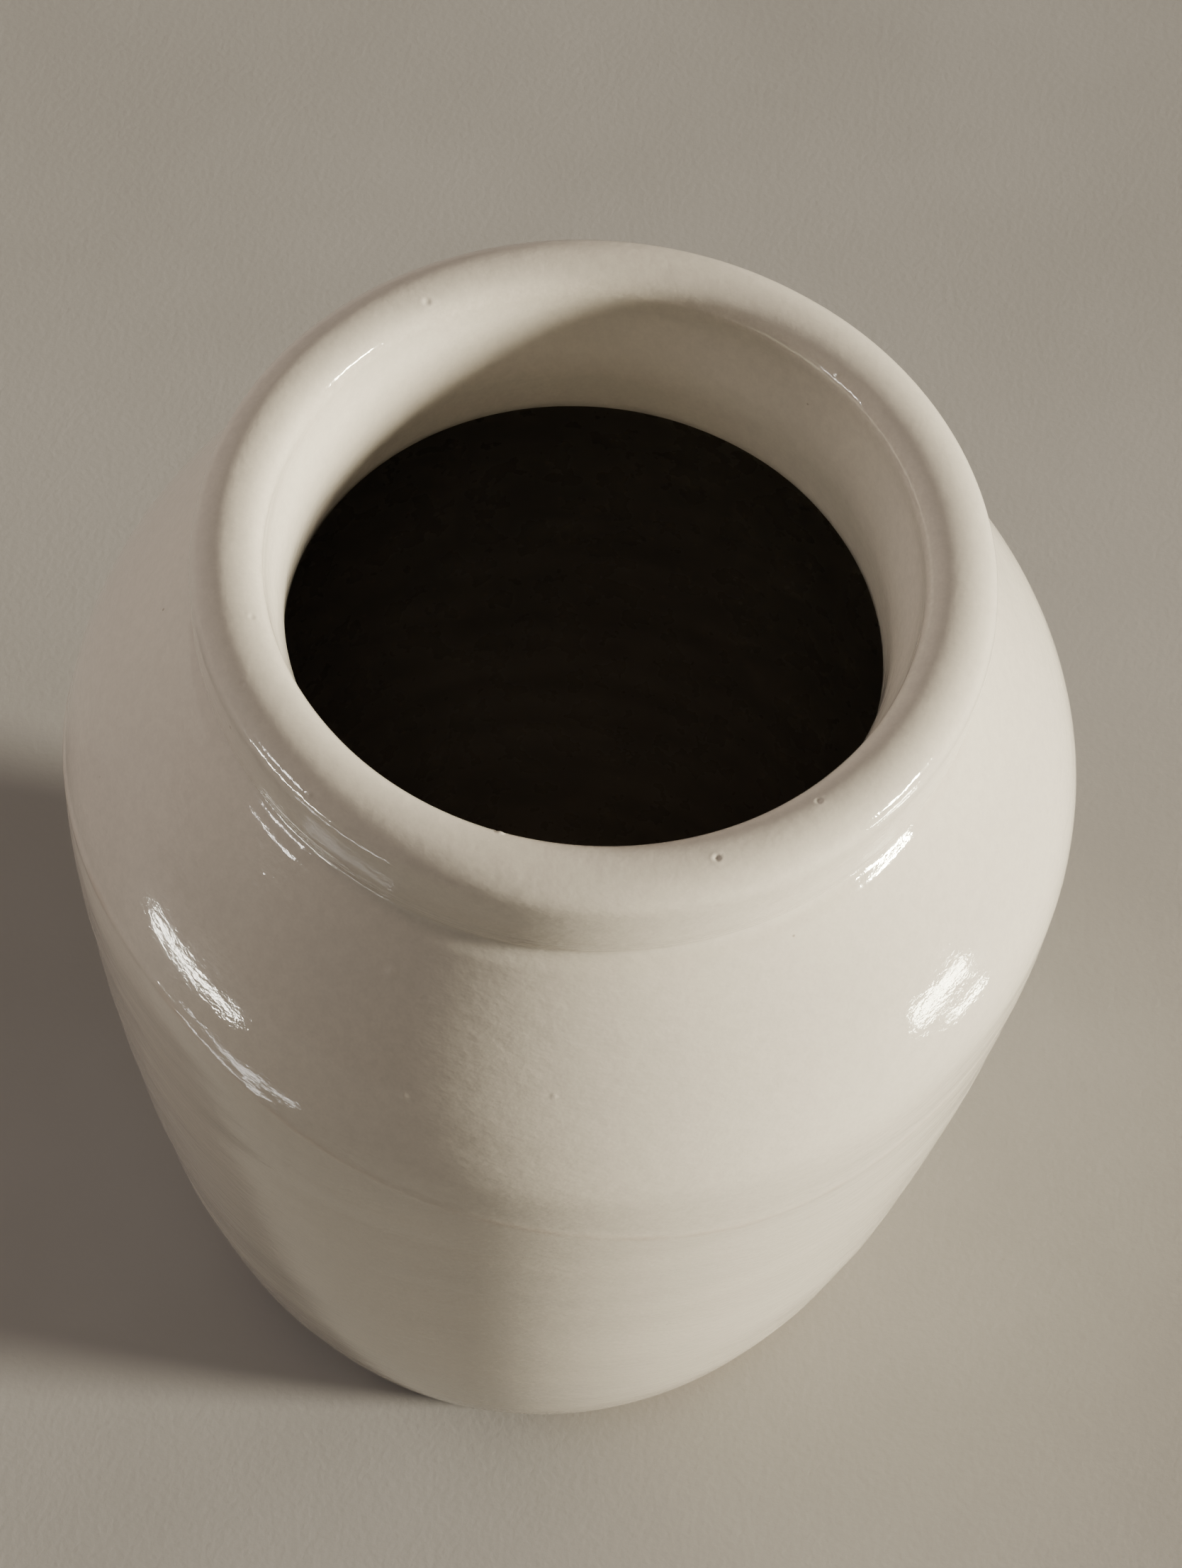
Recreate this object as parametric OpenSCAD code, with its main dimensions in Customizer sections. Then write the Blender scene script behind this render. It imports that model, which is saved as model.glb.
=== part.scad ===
// Wide-mouthed stoneware apothecary jar: one thrown clay pot under two glaze coats.
// The jar stands on z = 0 with its axis on Z. All sizes are in millimetres, measured over the glaze.

/* [Body] */
// Height from the foot to the top of the rim
jar_height = 178; // [174:1:186]
// Widest diameter, at the belly
belly_diameter = 147; // [140:1:154]
// Height of the widest ring above the foot
belly_height = 125; // [118:1:128]
// Diameter of the foot where it meets the glaze
foot_diameter = 104; // [98:1:108]

/* [Rim and neck] */
// Outer diameter of the rim
rim_diameter = 110; // [108:1:114]
// Height of the rim above the crease under it
rim_height = 16; // [14:0.5:18]
// Depth of the crease under the rim, measured inwards from the rim's outer face
crease_depth = 2.2; // [1.6:0.1:3]
// Diameter of the mouth at the inner lip
mouth_diameter = 90; // [88:1:92]
// Diameter of the neck's bore, the narrowest part of the opening
neck_diameter = 84; // [82:1:86]
// Height of the straight part of the neck's bore
neck_land = 6; // [4:0.5:8]
// Depth of the bore's lower end below the top of the rim
neck_depth = 24; // [22:1:26]

/* [Wall] */
// Thickness of the clay wall at the belly
wall_thickness = 7; // [6:0.5:8]
// Thickness of the clay wall just above the floor
lower_wall_thickness = 8; // [7:0.5:9]
// Thickness of the floor
floor_thickness = 9; // [8:0.5:11]
// Radius of the corner between floor and wall inside
floor_corner = 14; // [10:1:16]

/* [Foot] */
// Height of the bare clay band that the outside glaze stops above
bare_foot = 4; // [3:0.5:6]
// Width of the flat ring that the jar stands on
foot_ring_width = 8; // [6:0.5:10]
// Depth of the hollow inside the foot ring
foot_hollow = 1.8; // [1:0.1:2.5]
// Width of the bevel round the foot, inside and outside the ring
foot_bevel = 1.6; // [1:0.1:2]

/* [Glaze] */
// Thickness of the white glaze outside and in the neck
white_coat = 0.5; // [0.3:0.05:0.8]
// Thickness of the dark glaze that lines the inside
liner_coat = 0.4; // [0.3:0.05:0.6]

/* [Hidden] */
$fn = 96;

// Steps along each curve and each straight stretch of the outline
long_steps = 20;
short_steps = 9;
straight_steps = 6;
// Share of its full thickness that a coat has at its very edge, and the points it takes to reach full
edge_share = 0.35;
edge_points = 4;

// Clay sizes: the sizes over the glaze less one coat
belly_r = belly_diameter / 2 - white_coat;
foot_r = foot_diameter / 2;
rim_r = rim_diameter / 2 - white_coat;
crease_r = rim_r - crease_depth;
mouth_r = mouth_diameter / 2 + white_coat;
neck_r = neck_diameter / 2 + white_coat;
top_z = jar_height - white_coat;
crease_z = jar_height - rim_height;
neck_z = jar_height - neck_depth;

// Small offsets between the places where the outline's curves meet
fillet = [3.2, -5.5];
lip_drop = 2.6;
rim_side_drop = 2.8;
neck_turn = [2.4, -3.2];
rim_top_share = 0.5;
inner_belly_drop = 4;
floor_wall_flare = 6.6;
foot_step = 1.2;

// Places where one curve hands over to the next
glaze_line = [foot_r, bare_foot];
belly = [belly_r, belly_height];
crease = [crease_r, crease_z];
shoulder = crease + fillet;
rim_side = [rim_r, top_z - rim_side_drop];
rim_top = [mouth_r + rim_top_share * (rim_r - mouth_r), top_z];
lip = [mouth_r, top_z - lip_drop];
land_top = [neck_r, neck_z + neck_land];
land_end = [neck_r, neck_z];
neck_edge = land_end + neck_turn;
inner_belly = [belly_r - wall_thickness, belly_height - inner_belly_drop];
floor_wall = [foot_r + floor_wall_flare - lower_wall_thickness, floor_thickness + floor_corner];
floor_flat = [floor_wall[0] - floor_corner, floor_thickness];
ring_outer = foot_r - foot_step - foot_bevel;
ring_inner = ring_outer - foot_ring_width;

// Directions of the outline in degrees, counted from outwards (+X) towards up (+Z)
up = 90;
down = -90;
inward = 180;
foot_flare = 59;
shoulder_slope = 131;
crease_slope = 98;
rim_undercut = 42;
under_shoulder = -32;
inner_wall = -104;

// How far each curve holds to the directions of its two ends, from the foot up and in
wall_reach = [24, 14];
shoulder_reach = [13, 14];
fillet_reach = [2.2, 2.2];
rim_side_reach = [3, 7];
rim_outer_reach = [1.8, 3.2];
rim_inner_reach = [3, 1.6];
neck_reach = [6, 6];
neck_turn_reach = [1.8, 1.4];
under_shoulder_reach = [12, 15];
inner_wall_reach = [39, 25];
corner_reach = [7, 9];

// A cubic curve of n points from p, which it leaves along a, to q, which it reaches along b.
// reach is how far it holds to each direction. The last point is left to the curve that follows.
function curve(p, a, q, b, reach, n) =
    let(p1 = p + reach[0] * [cos(a), sin(a)], q1 = q - reach[1] * [cos(b), sin(b)])
    [for (i = [0 : n - 1]) let(t = i / n, s = 1 - t)
        s * s * s * p + 3 * s * s * t * p1 + 3 * s * t * t * q1 + t * t * t * q];

// Points evenly along the straight line from p to q, without q
function straight(p, q, n) = [for (i = [0 : n - 1]) p + (q - p) * i / n];

// Outside of the clay under the white glaze: wall, shoulder, crease, rim and neck
glazed_outside = concat(
    curve(glaze_line, foot_flare, belly, up, wall_reach, long_steps),
    curve(belly, up, shoulder, shoulder_slope, shoulder_reach, long_steps),
    curve(shoulder, shoulder_slope, crease, crease_slope, fillet_reach, short_steps),
    curve(crease, rim_undercut, rim_side, up, rim_side_reach, short_steps),
    curve(rim_side, up, rim_top, inward, rim_outer_reach, short_steps),
    curve(rim_top, inward, lip, down, rim_inner_reach, short_steps),
    curve(lip, down, land_top, down, neck_reach, short_steps),
    straight(land_top, land_end, straight_steps),
    curve(land_end, down, neck_edge, under_shoulder, neck_turn_reach, short_steps),
    [neck_edge]);

// Inside of the clay under the liner glaze: from the neck's lower edge down to the floor's middle
lined_inside = concat(
    curve(neck_edge, under_shoulder, inner_belly, down, under_shoulder_reach, long_steps),
    curve(inner_belly, down, floor_wall, inner_wall, inner_wall_reach, long_steps),
    curve(floor_wall, inner_wall, floor_flat, inward, corner_reach, short_steps),
    [floor_flat, [0, floor_thickness]]);

// Bare foot: from the middle of the hollow out to the glaze line
bare_foot_outline = [
    [0, foot_hollow],
    [ring_inner - foot_bevel, foot_hollow],
    [ring_inner, 0],
    [ring_outer, 0],
    [ring_outer + foot_bevel, foot_bevel]];

// Unit vector at right angles to the outline at point i, on the side the glaze lies
function normal(line, i) =
    let(d = line[min(i + 1, len(line) - 1)] - line[max(i - 1, 0)])
    [d[1], -d[0]] / norm(d);

// Points from point i to the nearest edge of the coat; a line that ends on the axis has no edge there
function points_to_edge(line, i) =
    line[len(line) - 1][0] == 0 ? i : min(i, len(line) - 1 - i);

// Thickness of a coat at point i, which thins towards its edges
function coat_at(line, i, full) =
    full * min(1, edge_share + (1 - edge_share) * points_to_edge(line, i) / edge_points);

// The glazed surface over a clay outline, from its last point back to its first
function glazed(line, full) =
    [for (i = [len(line) - 1 : -1 : 0]) line[i] + normal(line, i) * coat_at(line, i, full)];

// A coat is the band between a clay outline and the glazed surface over it
module coat(line, full) {
    rotate_extrude() polygon(concat(line, glazed(line, full)));
}

module clay_body() {
    color("burlywood") rotate_extrude()
        polygon(concat(bare_foot_outline, glazed_outside, lined_inside));
}

module white_glaze() {
    color("whitesmoke") coat(glazed_outside, white_coat);
}

module liner_glaze() {
    color("saddlebrown") coat(lined_inside, liner_coat);
}

clay_body();
white_glaze();
liner_glaze();
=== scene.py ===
# Stoneware apothecary jar: a white glaze coat, a dark liner coat and the clay pot with its bare
# foot. Each piece takes its outline from its own CAD node, smooths it, turns it round Z and adds
# the potter's and the kiln's small marks. Shapes are worked out in millimetres and made in metres.

from math import ceil, cos, pi, radians, sin

import bmesh
import bpy
import numpy as np
from mathutils import Matrix, Vector


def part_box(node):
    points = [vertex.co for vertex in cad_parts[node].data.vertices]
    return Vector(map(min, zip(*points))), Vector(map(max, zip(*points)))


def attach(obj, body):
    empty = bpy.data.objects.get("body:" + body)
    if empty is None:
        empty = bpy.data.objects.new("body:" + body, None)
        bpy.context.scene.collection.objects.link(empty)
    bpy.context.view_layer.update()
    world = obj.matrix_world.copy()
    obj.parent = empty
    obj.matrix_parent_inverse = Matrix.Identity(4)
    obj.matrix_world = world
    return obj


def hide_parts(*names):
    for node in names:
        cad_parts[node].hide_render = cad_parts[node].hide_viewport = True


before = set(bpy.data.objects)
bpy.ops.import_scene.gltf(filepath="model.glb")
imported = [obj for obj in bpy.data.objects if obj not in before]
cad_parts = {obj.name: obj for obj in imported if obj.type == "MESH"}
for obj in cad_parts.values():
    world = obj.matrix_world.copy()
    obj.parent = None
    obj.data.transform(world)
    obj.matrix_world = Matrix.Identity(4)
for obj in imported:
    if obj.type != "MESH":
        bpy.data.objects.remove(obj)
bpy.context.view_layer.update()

MM = 0.001
TAU = 2 * pi

# Steps round the jar, the same on every piece so that their hidden faces follow each other
COLUMNS = 320
# An outline turns by more than this (degrees) only at a real corner
CORNER = 26
# Spacing of the points that describe a smooth outline, and how far its corners are softened
FINE = 0.05
SOFTEN = 0.16
# Straight stretches longer than this are filled with points so that the spline stays straight
LONG_STRAIGHT = 10
# A coat as thin as the first of these holds to the clay; from the second it may be uneven
COAT_HOLDS = (0.12, 0.4)
# One in this many points of a hidden side is enough to tell how thick a coat is
THICKNESS_STEP = 8
# Rows of random numbers behind the lumps, more than the longest outline needs
LUMP_ROWS = 600
# Finer faces reach this many radii from a pit or bump, or this far in mm, and are cut this often
MARK_REACH = 2.2
LEAST_REACH = 1.5
MARK_CUTS = 3
# The low ring of glaze round each mark: its share of the mark's height, and its distance from
# the middle and its width, both in radii of the mark
RING_SHARE = 0.25
RING_DISTANCE = 1.5
RING_WIDTH = 0.6

# Height of the top of the rim, read from the white glaze's CAD node
TOP = (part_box("white_glaze")[1] / MM).z


# ---- Outlines ------------------------------------------------------------------------------------


def rings(node, first):
    """Radius and height of each ring of points on a CAD node, in order along its outline.
    It starts at the ring that has the smallest radius (first=0) or height (first=1)."""
    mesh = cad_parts[node].data
    points = np.array([v.co for v in mesh.vertices]) / MM
    flat = np.stack([np.hypot(points[:, 0], points[:, 1]), points[:, 2]], 1)
    found, ring = np.unique(np.round(flat, 2), axis=0, return_inverse=True)
    ring = ring.ravel()
    total = np.zeros_like(found)
    np.add.at(total, ring, flat)
    found = total / np.bincount(ring)[:, None]
    beside = [set() for _ in found]
    for edge in mesh.edges:
        a, b = (int(ring[v]) for v in edge.vertices)
        if a != b:
            beside[a].add(b)
            beside[b].add(a)
    here = int(np.argmin(found[:, first]))
    order, left = [here], set(range(len(found))) - {here}
    while beside[here] & left:
        here = min(beside[here] & left, key=lambda i: np.hypot(*(found[i] - found[order[-1]])))
        order.append(here)
        left.remove(here)
    return found[order]


def lengths(line):
    """Distance of each point from the first, along the line."""
    return np.concatenate([[0], np.cumsum(np.hypot(*np.diff(line, axis=0).T))])


def spline(points):
    """A smooth line through the points, as a point every FINE mm."""
    t = lengths(points)
    if len(points) == 2:
        share = np.linspace(0, 1, ceil(t[-1] / FINE) + 1)
        return points[0] + share[:, None] * (points[1] - points[0])
    step = np.diff(t)
    slope = np.diff(points, axis=0) / step[:, None]
    system, wanted = np.eye(len(t)), np.zeros_like(points)
    for i in range(1, len(t) - 1):
        system[i, i - 1:i + 2] = step[i - 1], 2 * (step[i - 1] + step[i]), step[i]
        wanted[i] = 6 * (slope[i] - slope[i - 1])
    bend = np.linalg.solve(system, wanted)
    at = np.linspace(0, t[-1], ceil(t[-1] / FINE) + 1)
    i = np.clip(np.searchsorted(t, at, "right") - 1, 0, len(step) - 1)
    h = step[i][:, None]
    b = (at - t[i])[:, None] / h
    a = 1 - b
    return (a * points[i] + b * points[i + 1]
            + ((a ** 3 - a) * bend[i] + (b ** 3 - b) * bend[i + 1]) * h * h / 6)


def fill_straights(points):
    """The points, with more on each stretch that is long enough to be a straight one."""
    filled = [points[:1]]
    for p, q in zip(points, points[1:]):
        long = np.hypot(*(q - p))
        parts = ceil(long / 2) if long > LONG_STRAIGHT else 1
        filled.append(p + (q - p) * np.arange(1, parts + 1)[:, None] / parts)
    return np.concatenate(filled)


def smooth(points):
    """The outline through the points: a spline from each corner to the next, evenly spaced."""
    keep = np.concatenate([[True], np.hypot(*np.diff(points, axis=0).T) > FINE])
    points = fill_straights(points[keep])
    way = np.unwrap(np.arctan2(*np.diff(points, axis=0).T[::-1]))
    turns = np.flatnonzero(np.abs(np.diff(way)) > radians(CORNER)) + 1
    ends = [0, *turns, len(points) - 1]
    runs = [spline(points[a:b + 1]) for a, b in zip(ends, ends[1:])]
    line = np.concatenate([run[:-1] for run in runs] + [points[-1:]])
    t = lengths(line)
    even = np.linspace(0, t[-1], ceil(t[-1] / FINE) + 1)
    return np.stack([np.interp(even, t, line[:, k]) for k in (0, 1)], 1)


def soften(line):
    """The line with its corners rounded by SOFTEN mm; its ends stay where they are."""
    reach = ceil(4 * SOFTEN / FINE)
    share = np.exp(-0.5 * (np.arange(-reach, reach + 1) * FINE / SOFTEN) ** 2)
    share /= share.sum()
    before = 2 * line[0] - line[reach:0:-1]
    after = 2 * line[-1] - line[-2:-reach - 2:-1]
    padded = np.concatenate([before, line, after])
    return np.stack([np.convolve(padded[:, k], share, "valid") for k in (0, 1)], 1)


def ramp(low_end, high_end, x):
    """0 below low_end, 1 above high_end and a smooth rise between them."""
    t = np.clip((x - low_end) / (high_end - low_end), 0, 1)
    return t * t * (3 - 2 * t)


def bump(centre, width, x):
    """A smooth bump of height 1 at centre."""
    return np.exp(-((x - centre) / width) ** 2)


def turning(line):
    """1 if the closed line runs round with its inside on the left, otherwise -1."""
    r, z = line.T
    return np.sign(np.sum(r * np.roll(z, -1) - np.roll(r, -1) * z))


class Skin:
    """The closed outline of a piece: its outer side, then its hidden side back to the start.
    The outer side runs first, from s = 0 to s = shown, and only it may be marked."""

    def __init__(self, outer, hidden=None):
        outer = soften(smooth(outer))
        hidden = np.zeros((0, 2)) if hidden is None else smooth(hidden)
        self.line = np.concatenate([outer, hidden])
        self.s = lengths(self.line)
        self.shown = self.s[len(outer) - 1]
        way = np.gradient(outer, axis=0)
        way *= turning(self.line) / np.hypot(*way.T)[:, None]
        self.normal = np.zeros_like(self.line)
        self.normal[:len(outer)] = np.stack([way[:, 1], -way[:, 0]], 1)
        self.thick = np.zeros(len(self.line))
        if len(hidden):
            coarse = hidden[::THICKNESS_STEP]
            for i, p in enumerate(outer):
                self.thick[i] = np.min(np.hypot(*(coarse - p).T))

    def read(self, values, s):
        """The outline's values (one or two for each of its points) at the places s."""
        if values.ndim == 1:
            return np.interp(s, self.s, values)
        return np.stack([np.interp(s, self.s, values[:, k]) for k in (0, 1)], 1)

    def place_of(self, radius, height):
        """The place s of the point of the outer side nearest to a radius and height."""
        outer = self.line[self.s <= self.shown]
        return self.s[np.argmin(np.hypot(*(outer - (radius, height)).T))]


def rows(skin, pitch):
    """Places along the outline, spaced as pitch(points) says at each point of it."""
    spacing = np.where(skin.s > skin.shown, hidden_pitch(skin.line), pitch(skin.line))
    share = np.concatenate([[0], np.cumsum(np.diff(skin.s) / spacing[:-1])])
    places = np.interp(np.linspace(0, share[-1], ceil(share[-1]) + 1), share, skin.s)
    if 0 < skin.shown < skin.s[-1]:
        places[np.argmin(np.abs(places - skin.shown))] = skin.shown
    return places


# ---- Uneven surfaces -----------------------------------------------------------------------------


def lumps(az, s, around, pitch, seed):
    """Smooth unevenness of about -1 to 1: `around` lumps round the jar, one per pitch mm up it."""
    u, v = az / TAU % 1 * around, np.maximum(s, 0) / pitch
    iu, iv = np.floor(u).astype(int), np.floor(v).astype(int)
    grid = np.random.default_rng(seed).uniform(-1, 1, (LUMP_ROWS, around))

    def shares(t):
        return ((1 - t) ** 3, 3 * t ** 3 - 6 * t ** 2 + 4,
                -3 * t ** 3 + 3 * t ** 2 + 3 * t + 1, t ** 3)

    total = np.zeros_like(u)
    for a, share_u in enumerate(shares(u - iu)):
        for b, share_v in enumerate(shares(v - iv)):
            total += share_u * share_v * grid[iv + b, (iu + a) % around]
    # The shares add up to 36; half of that brings the highest lumps to about 1
    return total / 18


def uneven(az, s, height, around, pitch, seed):
    """Smooth unevenness of about -height to height mm."""
    return height * lumps(az, s, around, pitch, seed)


def wave(az, strengths, seed):
    """A smooth closed curve round the jar: strengths[k] is that of k + 1 waves in a turn."""
    phases = np.random.default_rng(seed).uniform(0, TAU, len(strengths))
    return sum(a * np.cos((k + 1) * az + phases[k]) for k, a in enumerate(strengths))


# ---- Meshes --------------------------------------------------------------------------------------


def sheet(places, closed, poles):
    """A mesh of rows and columns whose points hold (place along the outline, azimuth).
    closed joins the last row to the first; poles makes the first and last row a single point."""
    azimuths = np.arange(COLUMNS) * TAU / COLUMNS - 1.5 * pi
    points, index = [], []
    for i, s in enumerate(places):
        if poles and i in (0, len(places) - 1):
            index.append([len(points)] * COLUMNS)
            points.append((s, 0, 0))
        else:
            index.append(list(range(len(points), len(points) + COLUMNS)))
            points.extend((s, a, 0) for a in azimuths)
    faces = []
    pairs = list(zip(index, index[1:])) + ([(index[-1], index[0])] if closed else [])
    for below, above in pairs:
        for j in range(COLUMNS):
            k = (j + 1) % COLUMNS
            face = (below[j], below[k], above[k], above[j])
            faces.append(tuple(dict.fromkeys(face)))
    made = bmesh.new()
    verts = [made.verts.new(p) for p in points]
    for face in faces:
        made.faces.new([verts[v] for v in face])
    return made


def refine(made, skin, spots):
    """Finer faces round each spot, so that its shape is in the mesh."""
    made.verts.ensure_lookup_table()
    where = np.array([v.co[:2] for v in made.verts])
    edges = set()
    for az, s, radius, _ in spots:
        around = skin.read(skin.line, np.array([s]))[0, 0]
        away = np.hypot(where[:, 0] - s, (where[:, 1] - az) * around)
        reach = max(MARK_REACH * radius, LEAST_REACH)
        for v in np.flatnonzero(away < reach):
            edges.update(made.verts[v].link_edges)
    if edges:
        bmesh.ops.subdivide_edges(made, edges=list(edges), cuts=MARK_CUTS, use_grid_fill=True)


def warp(points):
    """The pot as the wheel and the kiln left it: a little out of round, its rim a little aside.
    Every piece goes through this, so they stay together. Nothing moves outwards at the belly."""
    x, y, z = points.T
    radius, az = np.hypot(x, y), np.arctan2(y, x)
    upper = ramp(0.84 * TOP, 0.93 * TOP, z)
    oval = OUT_OF_ROUND * (1 - np.cos(2 * az - OVAL_TURN)) * ramp(0, 0.5 * TOP, z)
    pulled = 1 - oval - SHRUNK
    x, y = radius * pulled * np.cos(az) + RIM_ASIDE * upper, radius * pulled * np.sin(az)
    z = z - RIM_DROP * upper
    return np.stack([x, y, z], 1)


def build(name, skin, places, swell, spots=(), poles=True, notes=None, edge=None):
    """A piece: its outline turned round Z, with swell(az, s, r, z) mm of unevenness and spots.
    notes(az, s, r, z) gives the values that its material reads, and edge(r, z, az) moves rows."""
    made = sheet(places, closed=not poles, poles=poles)
    refine(made, skin, spots)
    mesh = bpy.data.meshes.new(name)
    made.to_mesh(mesh)
    made.free()
    flat = np.empty(len(mesh.vertices) * 3)
    mesh.vertices.foreach_get("co", flat)
    s, az = flat.reshape(-1, 3)[:, :2].T
    r, z = skin.read(skin.line, s).T
    out = skin.read(skin.normal, s)
    out /= np.maximum(np.hypot(*out.T), 1e-6)[:, None]
    shown = s <= skin.shown
    loose = ramp(*COAT_HOLDS, skin.read(skin.thick, s)) if skin.thick.any() else 1.0
    rise = swell(az, s, r, z) * loose
    for spot_az, spot_s, radius, height in spots:
        away = np.hypot(s - spot_s, (az - spot_az) * r) / radius
        ring = bump(RING_DISTANCE, RING_WIDTH, away)
        rise += height * (np.exp(-away ** 2) - RING_SHARE * ring)
    rise = np.where(shown, rise, 0)
    r, z = r + out[:, 0] * rise, z + out[:, 1] * rise
    if edge:
        r, z = edge(r, z, az)
    points = warp(np.stack([r * np.cos(az), r * np.sin(az), z], 1))
    mesh.vertices.foreach_set("co", (points * MM).astype(np.float32).ravel())
    for label, values in (notes(az, s, r, z) if notes else {}).items():
        values = np.where(shown, values, 0).astype(np.float32)
        mesh.attributes.new(label, "FLOAT", "POINT").data.foreach_set("value", values)
    mesh.update()
    whole = bmesh.new()
    whole.from_mesh(mesh)
    if whole.calc_volume(signed=True) < 0:
        bmesh.ops.reverse_faces(whole, faces=whole.faces)
    whole.to_mesh(mesh)
    whole.free()
    mesh.shade_smooth()
    piece = bpy.data.objects.new(name, mesh)
    bpy.context.scene.collection.objects.link(piece)
    return piece


# ---- The jar's own marks -------------------------------------------------------------------------

# Share of the radius that the pot is out of round by, and where round it (radians)
OUT_OF_ROUND = 0.0012
OVAL_TURN = 0.6
# Share of the radius that keeps the swellings below inside the CAD box
SHRUNK = 0.0030
# How far the rim sits to one side and low, in mm
RIM_ASIDE = 0.5
RIM_DROP = 0.12
# From the middle of the rim's top to the inner lip, in mm
TOP_TO_LIP = 5
# Mean height of the line round the belly that the second dip in the glaze reached down to
DIP_HEIGHT = 119.5

white = rings("white_glaze", first=1)
half = len(white) // 2
white_skin = Skin(np.concatenate([white[:1], white[:half:-1]]), white[half:0:-1])

liner = rings("liner_glaze", first=0)
half = (len(liner) + 1) // 2
floor_z = liner[0, 1]
liner_skin = Skin(liner[:half], np.concatenate([liner[half:], [(0, liner[-1, 1])]]))

clay = rings("clay_body", first=0)
clay_line = np.concatenate([[(0, clay[0, 1])], clay, [(0, clay[-1, 1])]])[::-1]
clay_skin = Skin(clay_line)

# The crease under the rim, on the glaze: the narrowest ring between the shoulder and the rim
outer = white_skin.line[white_skin.s <= white_skin.shown]
under_rim = outer[(outer[:, 1] > 0.86 * TOP) & (outer[:, 1] < 0.95 * TOP)
                  & (outer[:, 0] > 0.9 * outer[np.argmax(outer[:, 1]), 0])]
CREASE_R, CREASE_Z = under_rim[np.argmin(under_rim[:, 0])]
GLAZE_END_Z = white[0, 1]
# Radius of the mouth, at the inner lip
MOUTH_R = outer[np.argmax(outer[:, 1]), 0] - TOP_TO_LIP
# Places of the rim's outer upper edge and of the inner lip, as radius and height
RIM_EDGE = (53.4, 176.6)
LIP = (45.4, 176.2)


def hidden_pitch(line):
    """Row spacing where no one sees, the same on the coats and the clay so that they stay close."""
    r, z = line.T
    at_crease = np.hypot(r - CREASE_R, z - CREASE_Z) < 2
    plain = np.where(z > CREASE_Z - 8, 1.8, 5.0)
    return np.where(at_crease, 0.5, plain)


def dip_line(az):
    """Height of the wavy edge round the belly where the second dip in the glaze ends."""
    tilt = 7 * np.cos(az + radians(165))
    sway = 4.5 * np.cos(2 * (az + radians(150)))
    sag = 2 * np.cos(3 * (az + radians(130)))
    return DIP_HEIGHT + tilt + sway + sag + wave(az, [0, 0, 0, 0.4, 0.3, 0.4, 0.3, 0.3, 0.2], 5)


# From one ridge on the rim to the next, and from one throwing ring inside to the next, in mm
RIDGE_PITCH = 0.95
THROWING_PITCH = 8.5


def rim_ridges(az, z):
    """The fine ridges that the potter's tool left on the rim, just above the crease."""
    up = z - CREASE_Z
    band = ramp(0.5, 1.2, up) * (1 - ramp(4.6, 5.8, up))
    phase = up / RIDGE_PITCH + 0.5 * wave(az, [0.3, 0.25, 0.2], 8)
    strength = 0.65 + 0.45 * lumps(az, z, 14, 2.0, 9)
    return band * np.cos(TAU * phase) * strength


# Unevenness of the white glaze: height in mm, lumps round the jar, mm from lump to lump, seed
BROAD_WAVES = (0.09, 3, 9.0, 23)
WAVES = (0.075, 10, 5.5, 21)
RIPPLES = (0.06, 18, 2.7, 22)
RIM_RIPPLES = (0.03, 34, 4.0, 24)
# Heights in mm: the roll of glaze along the dip line, the step above it, the shelf that the fillet
# rises to, its drop at the crease with what comes back, the ridges and the rounding of the rim's
# edge, and the roll of glaze at the foot
DIP_ROLL = 0.26
DIP_STEP = 0.05
SHELF = 0.60
SHELF_DROP = 0.72
SHELF_BACK = 0.12
RIDGES = 0.10
EDGE_ROUNDING = 0.35
FOOT_ROLL = 0.22
# Heights in mm of the liner's throwing rings and unevenness
THROWING_RINGS = 0.26
LINER_WAVES = 0.10
# Depth of the turning lines in the foot's hollow, their spacing and the height of the clay's
# grit, in mm
TURNING_LINES = 0.07
TURNING_PITCH = 2.6
CLAY_ROUGH = 0.05


def white_swell(az, s, r, z):
    """How far the white glaze stands proud of its outline, in mm."""
    outside = (s < white_skin.place_of(CREASE_R, CREASE_Z)).astype(float)
    rim = 1 - outside
    above_dip, above_crease = z - dip_line(az), z - CREASE_Z
    roll = bump(0, 0.65, above_dip) * np.clip(0.7 + 0.8 * lumps(az, s, 12, 30, 25), 0.2, 1.2)
    roll *= 0.75 - 0.25 * np.cos(az)
    shelf = SHELF * ramp(-16, -1.8, above_crease)
    shelf -= (SHELF_DROP * ramp(-3.7, -0.8, above_crease)
              - SHELF_BACK * ramp(-0.8, -0.2, above_crease))
    rounding = bump(white_skin.place_of(*RIM_EDGE), 2.4, s)
    calm = 1 - 0.7 * ramp(0.81 * TOP, 0.85 * TOP, z) * outside
    return (uneven(az, s, *WAVES) * (0.35 + 0.65 * outside) * calm
            + uneven(az, s, *RIPPLES) * outside * calm
            + uneven(az, s, *BROAD_WAVES) * outside * calm
            + uneven(az, s, *RIM_RIPPLES) * rim
            + RIDGES * rim_ridges(az, z) * rim
            + (DIP_ROLL * roll - DIP_STEP * ramp(-1, 1, above_dip) + shelf) * outside
            - EDGE_ROUNDING * rounding
            + FOOT_ROLL * bump(GLAZE_END_Z + 1.4, 1.0, z))


def liner_swell(az, s, r, z):
    """The throwing rings up the inside wall, and the liner's own unevenness, in mm."""
    wall = ramp(floor_z + 1, floor_z + 14, z)
    spiral = s + THROWING_PITCH * az / TAU
    rings_left = 0.5 + 0.5 * np.cos(TAU * spiral / THROWING_PITCH)
    return (THROWING_RINGS * rings_left * wall * (0.7 + 0.3 * lumps(az, s, 7, 12, 31))
            + LINER_WAVES * lumps(az, s, 9, 8, 32) * ramp(2, 10, s))


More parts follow.
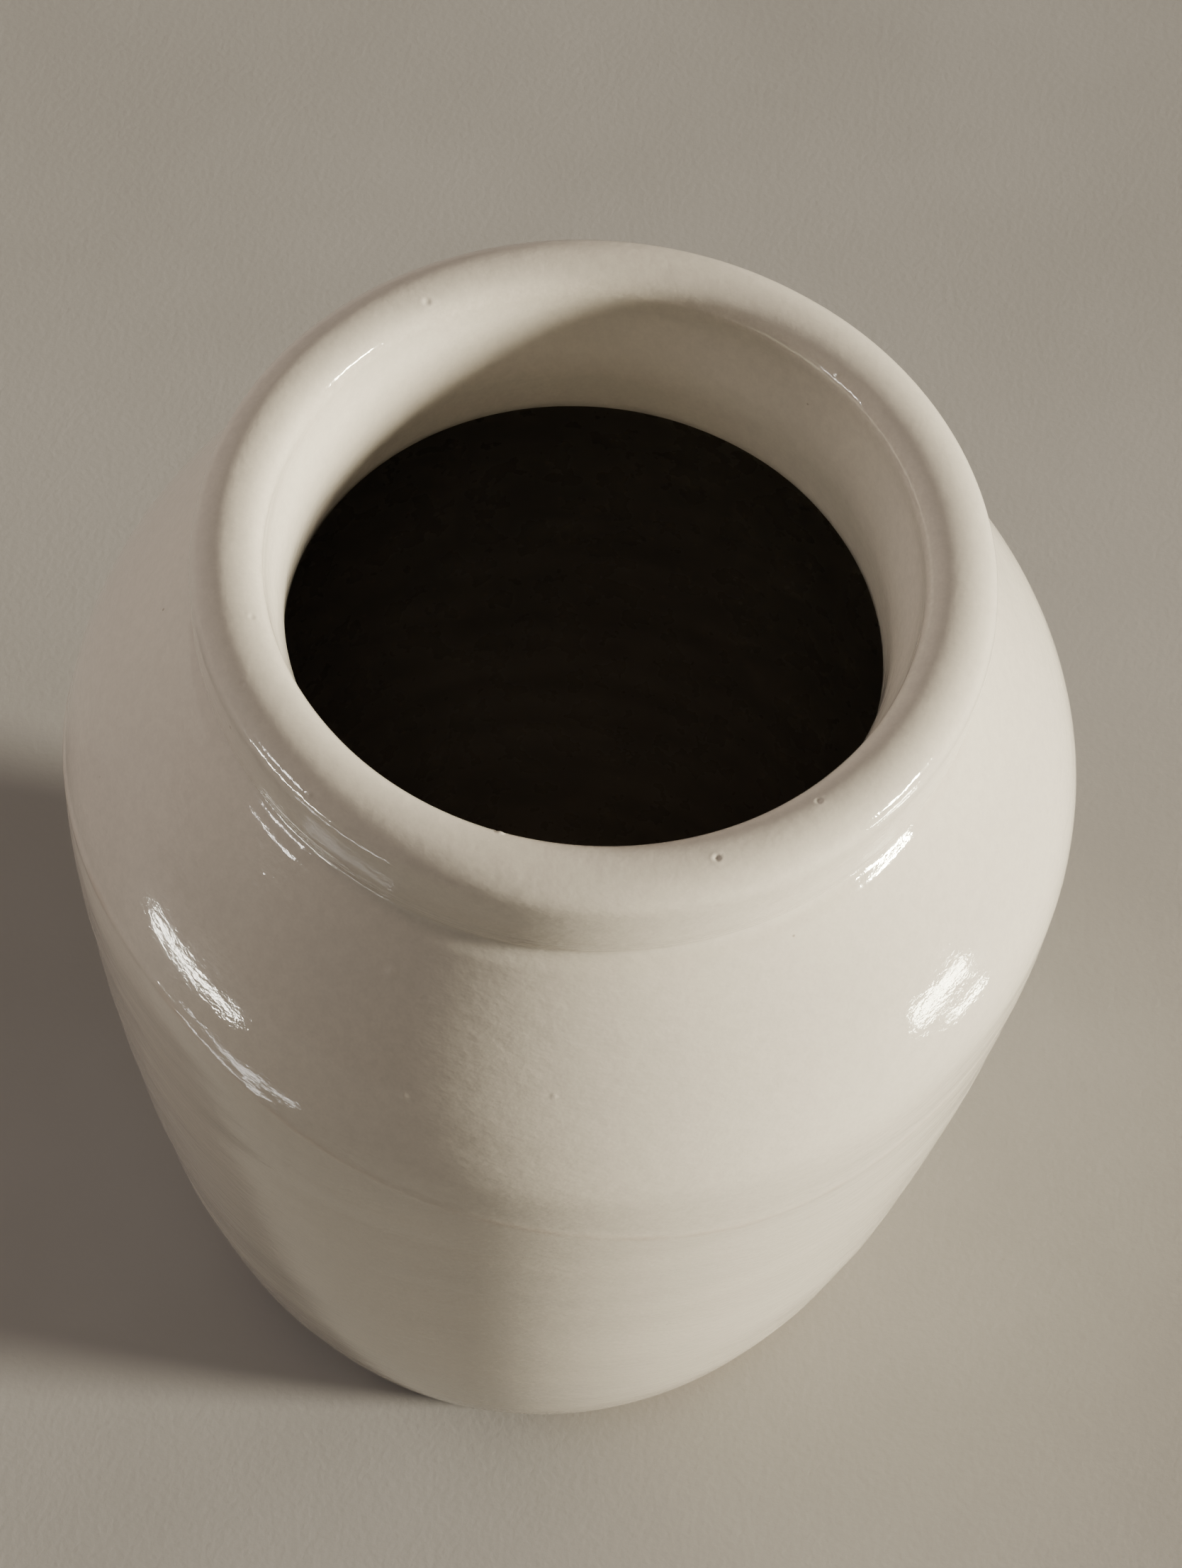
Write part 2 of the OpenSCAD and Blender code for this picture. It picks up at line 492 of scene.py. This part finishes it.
def clay_swell(az, s, r, z):
    """The turning lines in the hollow of the foot and the grit of the bare clay, in mm."""
    hollow = bump(0, 0.8, z - clay[-1, 1]) * ramp(2, 6, r)
    turned = np.cos(TAU * (r / TURNING_PITCH + az / TAU)) * hollow
    band = ramp(2.0, 2.6, z) * (1 - ramp(GLAZE_END_Z + 0.2, GLAZE_END_Z + 0.4, z))
    grit = CLAY_ROUGH * lumps(az, s, 60, 1.4, 41) * (hollow - band)
    return -TURNING_LINES * (1 + turned) * hollow + grit


# Direction up the wall from the glaze's lower edge, to the clay's outside 3 mm higher
height_off = np.abs(clay_skin.line[:, 1] - GLAZE_END_Z - 3)
on_inside = clay_skin.line[:, 0] < 45
FOOT_SLOPE = clay_skin.line[np.argmin(height_off + 9 * on_inside)] - white[0]
FOOT_SLOPE /= np.hypot(*FOOT_SLOPE)


def foot_line(r, z, az):
    """The glaze ends on the clay in a wavy line: its lowest few mm are drawn up the wall."""
    rise = 0.45 + wave(az, [0.12, 0.1, 0.1, 0.06, 0.1, 0.08, 0.05, 0.08, 0.05, 0.05], 12)
    near = 1 - ramp(GLAZE_END_Z + 1.5, GLAZE_END_Z + 8, z)
    up = np.maximum(rise, 0) * near * (r > 0.9 * white[0, 0])
    return r + up * FOOT_SLOPE[0], z + up * FOOT_SLOPE[1]


# Pits (negative) and bumps in the white glaze: azimuth in degrees, radius and height of the place,
# then the mark's own radius and height, all in mm
MARKS = [
    (-67, 50.1, 178.0, 0.45, -0.20),
    (125, 47.5, 177.7, 0.50, -0.12),
    (-160, 47.6, 177.7, 0.40, -0.09),
    (-149, 52.1, 177.8, 0.36, -0.08),
    (-129, 54.2, 176.8, 0.45, 0.10),
    (-111, 58.4, 153.9, 0.75, 0.12),
    (-105, 68.7, 141.0, 0.60, 0.10),
    (-106, 59.7, 152.5, 0.40, -0.14),
    (-101, 45.8, 176.8, 0.50, 0.16),
    (-48, 48.2, 177.9, 0.40, -0.14),
    (48, 46.1, 177.1, 0.40, 0.10),
    (-88, 66.1, 144.8, 0.40, 0.08),
]
# Pinholes in the wall: how many, and how deep in mm
PINHOLES = 12
PINHOLE_DEPTH = -0.10


def white_spots():
    """Every pit and bump as (azimuth, place, radius, height), from -270 to 90 degrees round."""
    spots = []
    for degrees, radius, height, size, depth in MARKS:
        az = radians(degrees if degrees < 90 else degrees - 360)
        spots.append((az, white_skin.place_of(radius, height), size, depth))
    draw = np.random.default_rng(77)
    for _ in range(PINHOLES):
        az = draw.uniform(-1.45 * pi, 0.45 * pi)
        place = draw.uniform(30, 0.78 * white_skin.shown)
        spots.append((az, place, draw.uniform(0.25, 0.4), PINHOLE_DEPTH))
    return spots


# Row spacing in mm on each part of the white glaze, and on the liner
WHITE_PITCH = {"wall": 2.6, "shoulder": 1.1, "dip line": 0.65, "rim": 0.75,
               "fillet": 0.35, "neck": 1.5, "foot edge": 0.4, "crease": 0.19}
LINER_PITCH = 1.5


def white_pitch(line):
    """Row spacing on the white glaze: closer wherever there is something small to show."""
    r, z = line.T
    near_crease = (r > CREASE_R - 2) & (np.abs(z - CREASE_Z - 2.2) < 3.6)
    fillet = (r > CREASE_R) & (np.abs(z - CREASE_Z + 3.5) < 2.2)
    foot_edge = z < GLAZE_END_Z + 4
    in_neck = (r < MOUTH_R - 0.5) & (z > 0.5 * TOP)
    spacing = np.where(z < 0.56 * TOP, WHITE_PITCH["wall"], WHITE_PITCH["shoulder"])
    spacing = np.where(np.abs(z - DIP_HEIGHT - 2) < 14, WHITE_PITCH["dip line"], spacing)
    spacing = np.where(z > CREASE_Z + 5, WHITE_PITCH["rim"], spacing)
    spacing = np.where(fillet, WHITE_PITCH["fillet"], spacing)
    spacing = np.where(in_neck, WHITE_PITCH["neck"], spacing)
    spacing = np.where(foot_edge, WHITE_PITCH["foot edge"], spacing)
    return np.where(near_crease, WHITE_PITCH["crease"], spacing)


def white_notes(az, s, r, z):
    """Where the coat is thin, where it lies in the crease, where it was dipped twice and the
    edge of that second dip."""
    up = z - CREASE_Z
    on_rim = (s > white_skin.place_of(CREASE_R, CREASE_Z)) & (r > CREASE_R - 1)
    patches = 0.5 + 0.7 * lumps(az, s, 22, 3.0, 51) + 0.35 * lumps(az, s, 70, 1.2, 52)
    band = bump(3.2, 2.6, up) * on_rim
    patches = np.clip(patches, 0, 1)
    mouth_edge = bump(white_skin.place_of(*LIP), 1.4, s)
    foot_edge = 1 - ramp(GLAZE_END_Z + 0.6, GLAZE_END_Z + 3, z)
    thin = np.clip(band * patches + 0.35 * mouth_edge * patches, 0, 1)
    crease = bump(0, 0.35, up) * (r > CREASE_R - 2)
    above = z - dip_line(az)
    return {"thin": np.maximum(thin, 0.9 * foot_edge), "crease": crease,
            "dipped": ramp(-1.2, 1.2, above), "dip_edge": bump(-0.3, 0.7, above)}


def liner_pitch(line):
    """Row spacing on the liner glaze."""
    return np.full(len(line), LINER_PITCH)


def clay_pitch(line):
    """Row spacing on the clay: close on the bare foot, wide where the coats cover it."""
    r, z = line.T
    shown = z < GLAZE_END_Z + 1.5
    bare = np.where(r < 36, 0.65, 0.4)
    return np.where(shown, bare, hidden_pitch(line))


white_glaze = build("white_glaze_coat", white_skin, rows(white_skin, white_pitch)[:-1], white_swell,
                    white_spots(), poles=False, notes=white_notes, edge=foot_line)
liner_glaze = build("liner_glaze_coat", liner_skin, rows(liner_skin, liner_pitch), liner_swell)
clay_pot = build("clay_pot", clay_skin, rows(clay_skin, clay_pitch), clay_swell)


# ---- Materials -----------------------------------------------------------------------------------


class Graph:
    """A material's nodes. Places come from the object's own coordinates, in metres."""

    def __init__(self, name):
        self.material = bpy.data.materials.new(name)
        self.material.use_nodes = True
        self.tree = self.material.node_tree
        self.tree.nodes.clear()
        self.shader = self.add("ShaderNodeBsdfPrincipled")
        self.out = self.add("ShaderNodeOutputMaterial")
        self.link(self.shader.outputs["BSDF"], self.out.inputs["Surface"])
        self.place = self.add("ShaderNodeTexCoord").outputs["Object"]

    def add(self, kind, **settings):
        node = self.tree.nodes.new(kind)
        for key, value in settings.items():
            setattr(node, key, value)
        return node

    def link(self, a, b):
        self.tree.links.new(a, b)

    def put(self, socket, value):
        """Give a socket another node's output, or a number or colour."""
        if isinstance(value, bpy.types.NodeSocket):
            self.link(value, socket)
        else:
            socket.default_value = value

    def stretched(self, scale):
        """The object's coordinates, scaled along X, Y and Z."""
        node = self.add("ShaderNodeMapping")
        node.inputs["Scale"].default_value = scale
        self.link(self.place, node.inputs["Vector"])
        return node.outputs["Vector"]

    def noise(self, size, detail=3, rough=0.55, squash=1):
        """Cloudy noise with lumps of about `size` mm; squash over 1 makes them flat and wide."""
        node = self.add("ShaderNodeTexNoise")
        self.link(self.stretched((1, 1, squash)), node.inputs["Vector"])
        node.inputs["Scale"].default_value = 1 / (size * MM)
        node.inputs["Detail"].default_value = detail
        node.inputs["Roughness"].default_value = rough
        return node.outputs["Fac"]

    def specks(self, spacing, radius):
        """1 inside round specks, `spacing` mm apart and of about `radius` mm."""
        node = self.add("ShaderNodeTexVoronoi")
        self.link(self.place, node.inputs["Vector"])
        node.inputs["Scale"].default_value = 1 / (spacing * MM)
        return self.span(node.outputs["Distance"], radius / spacing, 0.6 * radius / spacing)

    def span(self, value, start, end, low_end=0.0, high_end=1.0):
        """low_end where value is at start, high_end where it is at end, and smooth between."""
        node = self.add("ShaderNodeMapRange", interpolation_type="SMOOTHSTEP")
        node.inputs["From Min"].default_value = start
        node.inputs["From Max"].default_value = end
        node.inputs["To Min"].default_value = low_end
        node.inputs["To Max"].default_value = high_end
        self.link(value, node.inputs["Value"])
        return node.outputs["Result"]

    def times(self, a, b):
        node = self.add("ShaderNodeMath", operation="MULTIPLY")
        self.put(node.inputs[0], a)
        self.put(node.inputs[1], b)
        return node.outputs[0]

    def mix(self, share, a, b):
        """Colour a where share is 0, and b where it is 1."""
        node = self.add("ShaderNodeMix", data_type="RGBA")
        self.put(node.inputs[0], share)
        self.put(node.inputs[6], a)
        self.put(node.inputs[7], b)
        return node.outputs[2]

    def note(self, name):
        """The values that build() left on the mesh under a name."""
        return self.add("ShaderNodeAttribute", attribute_name=name).outputs["Fac"]

    def bumps(self, height, distance, below=None):
        """Bumps `distance` mm high, on top of those below."""
        node = self.add("ShaderNodeBump")
        node.inputs["Distance"].default_value = distance * MM
        self.link(height, node.inputs["Height"])
        if below is not None:
            self.link(below, node.inputs["Normal"])
        return node.outputs["Normal"]


def rgb(r, g, b):
    return (r, g, b, 1.0)


GLAZE_IOR = 1.5
# Colours in linear light
WHITE_WARM = rgb(0.755, 0.700, 0.602)
WHITE_DULL = rgb(0.715, 0.667, 0.582)
WHITE_MOTTLE = rgb(0.60, 0.56, 0.49)
WHITE_GRAIN = rgb(0.55, 0.50, 0.45)
WHITE_THIN = rgb(0.44, 0.385, 0.315)
DIP_EDGE = rgb(0.60, 0.49, 0.40)
CREASE_DARK = rgb(0.36, 0.28, 0.20)
GLAZE_SPECK = rgb(0.24, 0.19, 0.14)
LINER_DARK = rgb(0.150, 0.134, 0.112)
LINER_LIGHT = rgb(0.178, 0.156, 0.128)
LINER_SPECK = rgb(0.24, 0.195, 0.150)
CLAY_PALE = rgb(0.50, 0.395, 0.285)
CLAY_BROWN = rgb(0.43, 0.325, 0.225)
CLAY_GRIT = rgb(0.60, 0.51, 0.40)
CLAY_SPECK = rgb(0.16, 0.11, 0.075)
FLOOR_PALE = rgb(0.38, 0.37, 0.355)
FLOOR_DULL = rgb(0.345, 0.335, 0.32)


def white_material():
    """White glaze: cloudy and mottled, brown where it is thin and darker brown along the crease."""
    g = Graph("white_glaze")
    drift = g.span(g.noise(34, 3, squash=1.6), 0.3, 0.7)
    colour = g.mix(drift, WHITE_WARM, WHITE_DULL)
    mottle = g.span(g.noise(1.7, 4, 0.6), 0.30, 0.72)
    mottle = g.times(mottle, g.span(g.note("dipped"), 0, 1, 0.25, 0.75))
    colour = g.mix(g.times(mottle, 0.45), colour, WHITE_MOTTLE)
    grain = g.span(g.noise(0.45, 2), 0.35, 0.70, 0.0, 0.14)
    colour = g.mix(grain, colour, WHITE_GRAIN)
    thin = g.times(g.note("thin"), g.span(g.noise(0.9, 3), 0.30, 0.65, 0.15, 0.7))
    colour = g.mix(thin, colour, WHITE_THIN)
    edge = g.times(g.note("dip_edge"), g.span(g.noise(9, 3), 0.35, 0.65, 0.1, 0.55))
    colour = g.mix(edge, colour, DIP_EDGE)
    # Darker brown in a narrow band along the crease under the rim
    crease_dark = g.times(g.note("crease"), g.span(g.noise(11, 2), 0.40, 0.62, 0.12, 0.7))
    colour = g.mix(crease_dark, colour, CREASE_DARK)
    colour = g.mix(g.times(g.specks(13, 0.32), 0.55), colour, GLAZE_SPECK)
    g.link(colour, g.shader.inputs["Base Color"])
    g.link(g.span(g.noise(6, 3), 0.3, 0.7, 0.05, 0.11), g.shader.inputs["Roughness"])
    g.shader.inputs["IOR"].default_value = GLAZE_IOR
    peel = g.bumps(g.noise(3.4, 3, squash=2.4), 0.065)
    peel = g.bumps(g.noise(1.0, 2, squash=1.5), 0.022, peel)
    g.link(peel, g.shader.inputs["Normal"])
    return g.material


def liner_material():
    """Dark liner glaze: it ran in uneven bands and is duller than the white one."""
    g = Graph("liner_glaze")
    flow = g.span(g.noise(16, 4, squash=2.2), 0.32, 0.68)
    colour = g.mix(flow, LINER_DARK, LINER_LIGHT)
    colour = g.mix(g.times(g.specks(5, 0.5), 0.4), colour, LINER_SPECK)
    g.link(colour, g.shader.inputs["Base Color"])
    g.link(g.span(g.noise(5, 3), 0.3, 0.7, 0.22, 0.40), g.shader.inputs["Roughness"])
    g.shader.inputs["IOR"].default_value = GLAZE_IOR
    g.link(g.bumps(g.noise(2.6, 3), 0.05), g.shader.inputs["Normal"])
    return g.material


def clay_material():
    """Bare fired clay: dull, gritty and specked with iron."""
    g = Graph("clay")
    colour = g.mix(g.span(g.noise(14, 4), 0.3, 0.7), CLAY_PALE, CLAY_BROWN)
    colour = g.mix(g.span(g.noise(0.8, 3), 0.35, 0.7, 0, 0.5), colour, CLAY_GRIT)
    colour = g.mix(g.times(g.specks(2.6, 0.35), 0.7), colour, CLAY_SPECK)
    g.link(colour, g.shader.inputs["Base Color"])
    g.link(g.span(g.noise(3, 3), 0.3, 0.7, 0.72, 0.92), g.shader.inputs["Roughness"])
    grit = g.bumps(g.noise(0.5, 4, 0.7), 0.10)
    g.link(g.bumps(g.specks(2.1, 0.4), 0.06, grit), g.shader.inputs["Normal"])
    return g.material


def floor_material():
    """Plain pale floor without any gloss."""
    g = Graph("pale_floor")
    colour = g.mix(g.span(g.noise(90, 4), 0.3, 0.7), FLOOR_PALE, FLOOR_DULL)
    g.link(colour, g.shader.inputs["Base Color"])
    g.link(g.span(g.noise(20, 3), 0.3, 0.7, 0.75, 0.9), g.shader.inputs["Roughness"])
    g.shader.inputs["Specular IOR Level"].default_value = 0.0
    g.link(g.bumps(g.noise(1.2, 4), 0.05), g.shader.inputs["Normal"])
    return g.material


for piece, node, slot, material in (
        (white_glaze, "white_glaze", "white_glaze", white_material()),
        (liner_glaze, "liner_glaze", "liner_glaze", liner_material()),
        (clay_pot, "clay_body", "clay", clay_material())):
    piece.data.materials.append(material)
    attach(piece, "root")
    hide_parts(node)


# ---- Studio --------------------------------------------------------------------------------------

# The floor's radius and how far it lies under the foot, in metres
FLOOR_RADIUS = 12.0
FLOOR_GAP = 0.0002

# The photo's camera: its place in metres, its pan, tilt and roll in degrees, and its lens in mm
CAMERA_PLACE = (0, -0.3229, 0.6509)
CAMERA_PAN = -0.57
CAMERA_DOWN = 58.83
CAMERA_ROLL = 6.38
CAMERA_LENS = 97.65
CAMERA_SENSOR = 36

WORLD_COLOUR = rgb(1.0, 0.92, 0.83)
WORLD_STRENGTH = 0.075

# Even light from far away: name, azimuth, height and spread in degrees, strength, colour
SOFT_LIGHTS = [
    ("window", -4, 10.5, 9, 11.0, (1.0, 0.92, 0.74)),
    ("fill_top", -90, 82, 30, 0.27, (1.0, 0.78, 0.58)),
    ("fill_mouth", -90, 62, 16, 0.14, (1.0, 0.86, 0.74)),
    ("fill_back", 150, 12, 22, 1.05, (1.0, 0.84, 0.75)),
    ("fill_left", -176, 28, 22, 0.27, (0.93, 0.92, 1.0)),
]
# A sun lights the same from anywhere, so this distance in metres only says where it is drawn
SUN_DISTANCE = 2

# Where the reflected lights are aimed: the mouth, and a place on each side of the shoulder
MOUTH = (0, 0, 0.168)
SHOULDER_RIGHT = (0.056, -0.041, 0.141)
SHOULDER_LEFT = (-0.048, -0.050, 0.138)
# Lights that only show as reflections: name, azimuth and height in degrees as seen from the last
# entry, distance, width and height in metres, watts, colour, and that place
GLINTS = [
    ("glint_rim_right", -10, 16, 1.2, (0.25, 0.09), 46.0, (1.0, 0.97, 0.70), MOUTH),
    ("glint_rim_left", -158, 16, 1.2, (0.25, 0.08), 2.6, (1.0, 0.95, 0.86), MOUTH),
    ("glint_right", -12, -11.0, 0.50, (0.12, 0.055), 2.2, (1.0, 0.97, 0.70), SHOULDER_RIGHT),
    ("glint_right_low", -6, -24, 0.28, (0.05, 0.016), 0.26, (1.0, 0.97, 0.70), SHOULDER_RIGHT),
    ("glint_left", -158, -14.6, 0.45, (0.20, 0.034), 1.3, (1.0, 0.96, 0.82), SHOULDER_LEFT),
    ("glint_left_low", -144, -36, 0.20, (0.10, 0.012), 0.04, (1.0, 0.96, 0.90), SHOULDER_LEFT),
]


def make_floor():
    """The plain pale floor that the jar stands on."""
    made = bmesh.new()
    bmesh.ops.create_circle(made, cap_ends=True, segments=96, radius=FLOOR_RADIUS)
    bmesh.ops.translate(made, verts=made.verts, vec=(0, 0, -FLOOR_GAP))
    mesh = bpy.data.meshes.new("studio_floor")
    made.to_mesh(mesh)
    made.free()
    mesh.materials.append(floor_material())
    floor = bpy.data.objects.new("studio_floor", mesh)
    bpy.context.scene.collection.objects.link(floor)


def towards(azimuth, elevation):
    """Unit vector at an azimuth and elevation in degrees."""
    a, e = radians(azimuth), radians(elevation)
    return Vector((cos(a) * cos(e), sin(a) * cos(e), sin(e)))


def add_light(name, light, away, place):
    """Put a light at a place, shining back along away; it never shows to the camera itself."""
    lamp = bpy.data.objects.new(name, light)
    lamp.location = place
    lamp.rotation_euler = away.to_track_quat("Z", "Y").to_euler()
    lamp.visible_camera = False
    bpy.context.scene.collection.objects.link(lamp)
    return lamp


def make_soft_light(name, azimuth, elevation, spread, strength, colour):
    """Even light from far away, which shows no reflection of its own."""
    light = bpy.data.lights.new(name, "SUN")
    light.angle = radians(spread)
    light.energy = strength
    light.color = colour
    away = towards(azimuth, elevation)
    lamp = add_light(name, light, away, away * SUN_DISTANCE)
    lamp.visible_glossy = False


def make_glint(name, azimuth, elevation, distance, size, watts, colour, target):
    """A small rectangular light that shows only as a reflection, as seen from its target."""
    light = bpy.data.lights.new(name, "AREA")
    light.shape = "RECTANGLE"
    light.size, light.size_y = size
    light.energy = watts
    light.color = colour
    away = towards(azimuth, elevation)
    lamp = add_light(name, light, away, Vector(target) + away * distance)
    lamp.visible_diffuse = False


def make_world():
    """Faint even light from all round."""
    world = bpy.data.worlds.new("studio")
    world.use_nodes = True
    back = world.node_tree.nodes["Background"]
    back.inputs["Color"].default_value = WORLD_COLOUR
    back.inputs["Strength"].default_value = WORLD_STRENGTH
    bpy.context.scene.world = world


def make_camera():
    """The camera, where the photo was taken from."""
    data = bpy.data.cameras.new("camera")
    data.sensor_width = CAMERA_SENSOR
    data.lens = CAMERA_LENS
    camera = bpy.data.objects.new("camera", data)
    turn = (Matrix.Rotation(radians(CAMERA_PAN), 4, "Z")
            @ Matrix.Rotation(radians(90 - CAMERA_DOWN), 4, "X")
            @ Matrix.Rotation(radians(CAMERA_ROLL), 4, "Z"))
    camera.matrix_world = Matrix.Translation(CAMERA_PLACE) @ turn
    bpy.context.scene.collection.objects.link(camera)
    bpy.context.scene.camera = camera


make_floor()
for light in SOFT_LIGHTS:
    make_soft_light(*light)
for light in GLINTS:
    make_glint(*light)
make_world()
make_camera()
